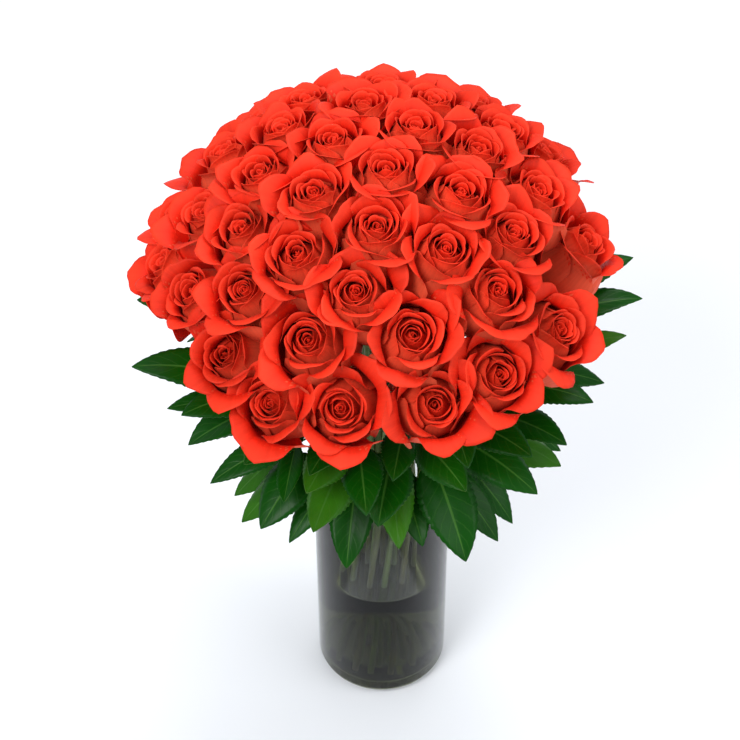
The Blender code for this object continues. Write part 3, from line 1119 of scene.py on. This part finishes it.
def mottle_group() -> NodeTree:
    """Soft patches of lighter and darker growth over a plant's surface.

    Two noises: the patches, centred on 1, make the Shade, and the fine grain is given as it is.

    Returns:
        The group, with a Shade near 1 and a Grain height.
    """
    group, wire, start, end = new_group("growth mottle", {"Amount": 0.2}, ("Shade", "Grain"))
    patches, grain = wire.noise(38.0, 3.0), wire.noise(420.0, 2.0)
    swing = wire.maths("MULTIPLY", wire.maths("SUBTRACT", patches, 0.5), start.outputs["Amount"])
    wire.feed(end.inputs["Shade"], wire.maths("ADD", 1.0, wire.maths("MULTIPLY", swing, 2.0)))
    wire.feed(end.inputs["Grain"], grain)
    return group


@dataclass(frozen=True)
class Finish:
    """What every finish shares: a material with one Principled shader."""

    name: str
    roughness: float
    colour: Colour

    def start(self) -> tuple[Material, Wiring, Node]:
        """A new material, its wiring and its shader, with the plain values set."""
        material = bpy.data.materials.new(self.name)
        material.use_nodes = True
        wire = Wiring(material.node_tree)
        shader = material.node_tree.nodes["Principled BSDF"]
        shader.inputs["Base Color"].default_value = (*self.colour, 1.0)
        shader.inputs["Roughness"].default_value = self.roughness
        return material, wire, shader


@dataclass(frozen=True)
class PetalFinish(Finish):
    """Satin petals: deep coral inside, paler and warmer outside, with painted shade deepest in the
    heart.
    """

    outside: Colour = (0.74, 0.085, 0.036)
    # heart: painted shade, the inner petals' colour darkened where the bloom shades its own heart
    heart: Colour = (0.62, 0.008, 0.003)
    # lip: partly the petals' own lighter, more orange edge and partly a painted highlight on the
    # lit rolled lips
    lip: Colour = (0.86, 0.055, 0.020)

    def make(self, mottle: NodeTree) -> Material:
        """The petals' material.

        Args:
            mottle: the shared growth mottle.

        Returns:
            The material.
        """
        material, wire, shader = self.start()
        (kind, chance, run), inside = wire.tint()
        # Painted shade: the inside of the inner petals blends to the darker heart colour
        inner = wire.mix(wire.spread(kind, 0.0, 0.55), self.heart, self.colour)
        # The inside turns lighter and more orange at the lip: partly its own colour, partly a
        # painted highlight
        edge = wire.spread(run, 0.80, 1.0, 0.0, 0.55)
        inner = wire.mix(edge, inner, self.lip)
        outer = wire.mix(wire.spread(kind, 0.15, 0.9), self.colour, self.outside)
        # The outside also turns to the lip colour at the lip, partly own colour and partly a
        # painted highlight
        outer = wire.mix(wire.spread(run, 0.72, 1.0, 0.0, 0.8), outer, self.lip)
        both = wire.mix(inside, outer, inner)
        blot = wire.mottled(mottle, 0.16)
        place = wire.node("UVMap", uv_map="surface").outputs[0]
        streaks = wire.noise(1.0, 3.0, (26.0, 1.6, 1.0), place)
        line = wire.spread(streaks, 0.3, 0.7, 0.93, 1.05)
        vary = wire.spread(chance, 0.0, 1.0, 0.90, 1.06)
        shade = wire.maths("MULTIPLY", wire.maths("MULTIPLY", blot.outputs["Shade"], line), vary)
        wire.feed(shader.inputs["Base Color"], wire.shaded(both, shade))
        wire.relief(shader, streaks, 0.25, 0.4 * MM)
        shader.inputs["Sheen Weight"].default_value = 0.04
        shader.inputs["Sheen Roughness"].default_value = 0.35
        shader.inputs["Sheen Tint"].default_value = (1.0, 0.55, 0.45, 1.0)
        shader.inputs["Specular IOR Level"].default_value = 0.12
        return material


@dataclass(frozen=True)
class LeafFinish(Finish):
    """Glossy leaves with paler veins, and a yellower, duller back."""

    young: Colour = (0.035, 0.15, 0.006)
    back: Colour = (0.10, 0.19, 0.035)
    vein: Colour = (0.05, 0.17, 0.02)

    def make(self, mottle: NodeTree, veins: NodeTree) -> Material:
        """The leaves' material.

        Args:
            mottle: the shared growth mottle.
            veins: the shared veins.

        Returns:
            The material.
        """
        material, wire, shader = self.start()
        (chance, _, _), under = wire.tint()
        face = wire.mix(wire.spread(chance, 0.55, 1.0), self.colour, self.young)
        lines = wire.node("Group", node_tree=veins)
        marks = wire.maths("MAXIMUM", wire.maths("MULTIPLY", lines.outputs["Vein"], 0.22),
                           wire.maths("MULTIPLY", lines.outputs["Rib"], 0.75))
        face = wire.mix(marks, face, self.vein)
        both = wire.mix(under, face, self.back)
        blot = wire.mottled(mottle, 0.35)
        wire.feed(shader.inputs["Base Color"], wire.shaded(both, blot.outputs["Shade"]))
        wire.feed(shader.inputs["Roughness"], wire.maths(
            "ADD", self.roughness, wire.maths("MULTIPLY", under, 0.25)))
        shader.inputs["Specular IOR Level"].default_value = 0.14
        grain = wire.maths("MULTIPLY", blot.outputs["Grain"], 0.25)
        wire.relief(shader, wire.maths("SUBTRACT", grain, marks), 0.5, 0.5 * MM)
        return material


@dataclass(frozen=True)
class StemFinish(Finish):
    """Satin green stems, browner and redder on some."""

    brown: Colour = (0.10, 0.055, 0.02)

    def make(self, mottle: NodeTree) -> Material:
        """The stems' material.

        Args:
            mottle: the shared growth mottle.

        Returns:
            The material.
        """
        material, wire, shader = self.start()
        (chance, _, _), run = wire.tint()
        share = wire.maths("MULTIPLY", chance, wire.spread(run, 0.15, 0.75, 1.0, 0.0))
        colour = wire.mix(share, self.colour, self.brown)
        blot = wire.mottled(mottle, 0.5)
        wire.feed(shader.inputs["Base Color"], wire.shaded(colour, blot.outputs["Shade"]))
        wire.relief(shader, blot.outputs["Grain"], 0.4, 0.4 * MM)
        return material


@dataclass(frozen=True)
class ClearFinish(Finish):
    """A clear or cloudy body that light passes through.

    Fields:
        ior: how much it bends light.
        cloud: most that its smears add to its roughness.
        mirror: its reflection, as a share of real glass's or water's.
    """

    ior: float = 1.45
    cloud: float = 0.0
    mirror: float = 0.2

    def make(self) -> Material:
        """The material, with faint smears in its gloss where it is cloudy."""
        material, wire, shader = self.start()
        shader.inputs["Transmission Weight"].default_value = 1.0
        shader.inputs["IOR"].default_value = self.ior
        shader.inputs["Specular Tint"].default_value = (self.mirror,) * 3 + (1.0,)
        if self.cloud:
            smear = wire.noise(22.0, 4.0, (1.0, 1.0, 0.35))
            wire.feed(shader.inputs["Roughness"], wire.spread(
                smear, 0.3, 0.75, self.roughness, self.roughness + self.cloud))
        return material


# ---- the bunch


class Zone(Enum):
    """Parts of the bunch, and how open the blooms there are."""

    CROWN = ("crown", 0.35)
    UPPER = ("upper", 0.45)
    FRONT = ("front", 0.75)
    LEFT = ("left", 0.45)
    RIGHT = ("right", 0.35)
    BACK = ("back", 0.5)

    @staticmethod
    def openness(rose: str) -> float:
        """How open the blooms of a rose's zone are."""
        return next(zone.value[1] for zone in Zone if rose.startswith(zone.value[0]))


@dataclass
class Bunch:
    """All the roses: reads them from the frame, and builds each one's pieces."""

    petal: Material
    leaf: Material
    stem: Material
    most_reach: float = 36 * MM
    least_reach: float = 26 * MM
    directions: int = 24

    def reaches(self, goblets: list[Goblet], which: int) -> np.ndarray:
        """How far a bloom may spread before it meets its neighbours.

        In each direction round its axis it stops half way to each neighbour, measured
        along that direction, as the cells of a pavement do.

        Args:
            goblets: all the roses.
            which: the bloom's place in the list.

        Returns:
            One distance for each direction.
        """
        own = goblets[which]
        turn = np.linspace(0, 2 * math.pi, self.directions, endpoint=False)
        local = np.column_stack([np.cos(turn), np.sin(turn), np.zeros_like(turn)])
        ways = local @ axes_round(own.axis)
        middle = np.array([g.face - 0.25 * (g.face - g.base) for g in goblets])
        gap = np.delete(middle - middle[which], which, axis=0)
        along = ways @ gap.T
        length = (gap**2).sum(1)[None]
        limit = np.where(along > 0.002, 0.5 * length / np.maximum(along, 1e-6), 1.0)
        return np.clip(limit.min(1) * 1.07, self.least_reach, self.most_reach)

    def build(self, names: list[str], dome: Dome, goblets: list[Goblet]) -> None:
        """Builds every rose.

        Args:
            names: the roses' nodes.
            dome: the ball of the blooms' faces.
            goblets: the roses' solids, in the same order.
        """
        for number, (node, goblet) in enumerate(zip(names, goblets)):
            rose = node.removeprefix("rose_")
            rng = np.random.default_rng(100 + number)
            openness = float(np.clip(Zone.openness(rose) + rng.normal(0, 0.15), 0.1, 1.0))
            bloom = Bloom(goblet, self.reaches(goblets, number), openness, number)
            make_piece(f"petals_{rose}", bloom.petals(), self.petal, node)
            make_piece(f"sepals_{rose}", bloom.sepals(), self.leaf, node)
            make_piece(f"stem_{rose}", Stem(goblet, number).shell(), self.stem, node,
                       has_poles=True)
            leaves = [leaf for leaf in LEAVES if leaf.rose == rose]
            if leaves:
                shell = Foliage(goblet, dome, leaves, 900 + number).shell()
                make_piece(f"leaves_{rose}", shell, self.leaf, node, has_poles=True)
            LOG.info("%s: open %.2f, %d leaves", rose, openness, len(leaves))


# ---- studio


@dataclass
class Studio:
    """A pale floor, soft light from above and round about, and the camera."""

    distance: float = 1.321
    height: float = 1.836
    pitch: float = 47.2
    lens: float = 107.0
    shift: float = -0.0158
    floor_reach: float = 6.0
    floor_gap: float = 0.2 * MM
    aim_height: float = 0.4
    floor_glow: float = 0.05
    sky: float = 0.55

    def floor(self) -> None:
        """A wide pale square that the vase stands on."""
        far, low = self.floor_reach, -self.floor_gap
        mesh = bpy.data.meshes.new("floor")
        mesh.from_pydata([(-far, -far, low), (far, -far, low), (far, far, low), (-far, far, low)],
                         [], [(0, 1, 2, 3)])
        material = bpy.data.materials.new("pale floor")
        material.use_nodes = True
        shader = material.node_tree.nodes["Principled BSDF"]
        shader.inputs["Base Color"].default_value = (0.86, 0.88, 0.92, 1.0)
        shader.inputs["Roughness"].default_value = 0.9
        shader.inputs["Emission Color"].default_value = (0.95, 0.97, 1.0, 1.0)
        shader.inputs["Emission Strength"].default_value = self.floor_glow
        mesh.materials.append(material)
        floor = bpy.data.objects.new("floor", mesh)
        bpy.context.scene.collection.objects.link(floor)

    def lamp(self, name: str, place: Colour, size: float, power: float) -> None:
        """A square soft light aimed at the middle of the bunch."""
        data = bpy.data.lights.new(name, "AREA")
        data.size, data.energy = size, power
        lamp = bpy.data.objects.new(name, data)
        lamp.location = place
        aim = axes_round(np.array(place) - np.array([0.0, 0.0, self.aim_height]))
        lamp.rotation_euler = Matrix(aim.tolist()).transposed().to_euler()
        bpy.context.scene.collection.objects.link(lamp)

    def build(self) -> None:
        """Places the floor, the lights, the world and the camera."""
        self.floor()
        world = bpy.data.worlds.new("studio")
        world.use_nodes = True
        ground = world.node_tree.nodes["Background"]
        ground.inputs["Color"].default_value = (0.93, 0.96, 1.0, 1.0)
        ground.inputs["Strength"].default_value = self.sky
        bpy.context.scene.world = world
        self.lamp("key", (-1.2, -1.6, 2.6), 1.2, 50.0)
        self.lamp("fill", (1.8, -0.8, 1.8), 1.6, 18.0)
        self.lamp("top", (0.2, 0.9, 2.6), 1.2, 30.0)
        data = bpy.data.cameras.new("camera")
        data.lens, data.shift_x = self.lens, self.shift
        camera = bpy.data.objects.new("camera", data)
        camera.location = (0.0, -self.distance, self.height)
        camera.rotation_euler = (math.radians(90 - self.pitch), 0.0, 0.0)
        bpy.context.scene.collection.objects.link(camera)
        bpy.context.scene.camera = camera
        bpy.context.scene.view_settings.view_transform = "Standard"


def main() -> None:
    """Builds the vase, the water, the roses and the studio, in that order."""
    logging.basicConfig(level=logging.INFO, format="%(name)s %(message)s")
    mottle, veins = mottle_group(), vein_group()
    vase = Vase.of("vase")
    glass = ClearFinish("clear glass", 0.01, (0.80, 0.83, 0.81)).make()
    murk = ClearFinish(
        "murky water", 0.02, (0.32, 0.34, 0.14), ior=1.33, cloud=0.04, mirror=0.05
    ).make()
    make_piece("vase_glass", vase.shell(), glass, "vase", has_poles=True)
    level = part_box("water")[1].z
    make_piece("vase_water", vase.water(level), murk, "water", has_poles=True)
    LOG.info("vase: radius %.4f, height %.3f, water to %.3f", vase.radius, vase.height, level)

    names = sorted(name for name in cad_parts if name.startswith("rose_"))
    goblets = [Goblet.of(name) for name in names]
    dome = Dome.through(np.array([goblet.face for goblet in goblets]))
    LOG.info("dome: centre %s, radius %.3f", np.round(dome.centre, 3), dome.radius)
    bunch = Bunch(
        PetalFinish("coral petals", 0.55, (0.76, 0.018, 0.005)).make(mottle),
        LeafFinish("glossy leaves", 0.34, (0.003, 0.064, 0.001)).make(mottle, veins),
        StemFinish("rose stems", 0.5, (0.12, 0.19, 0.035)).make(mottle),
    )
    bunch.build(names, dome, goblets)
    Studio().build()


if __name__ == "__main__":
    main()
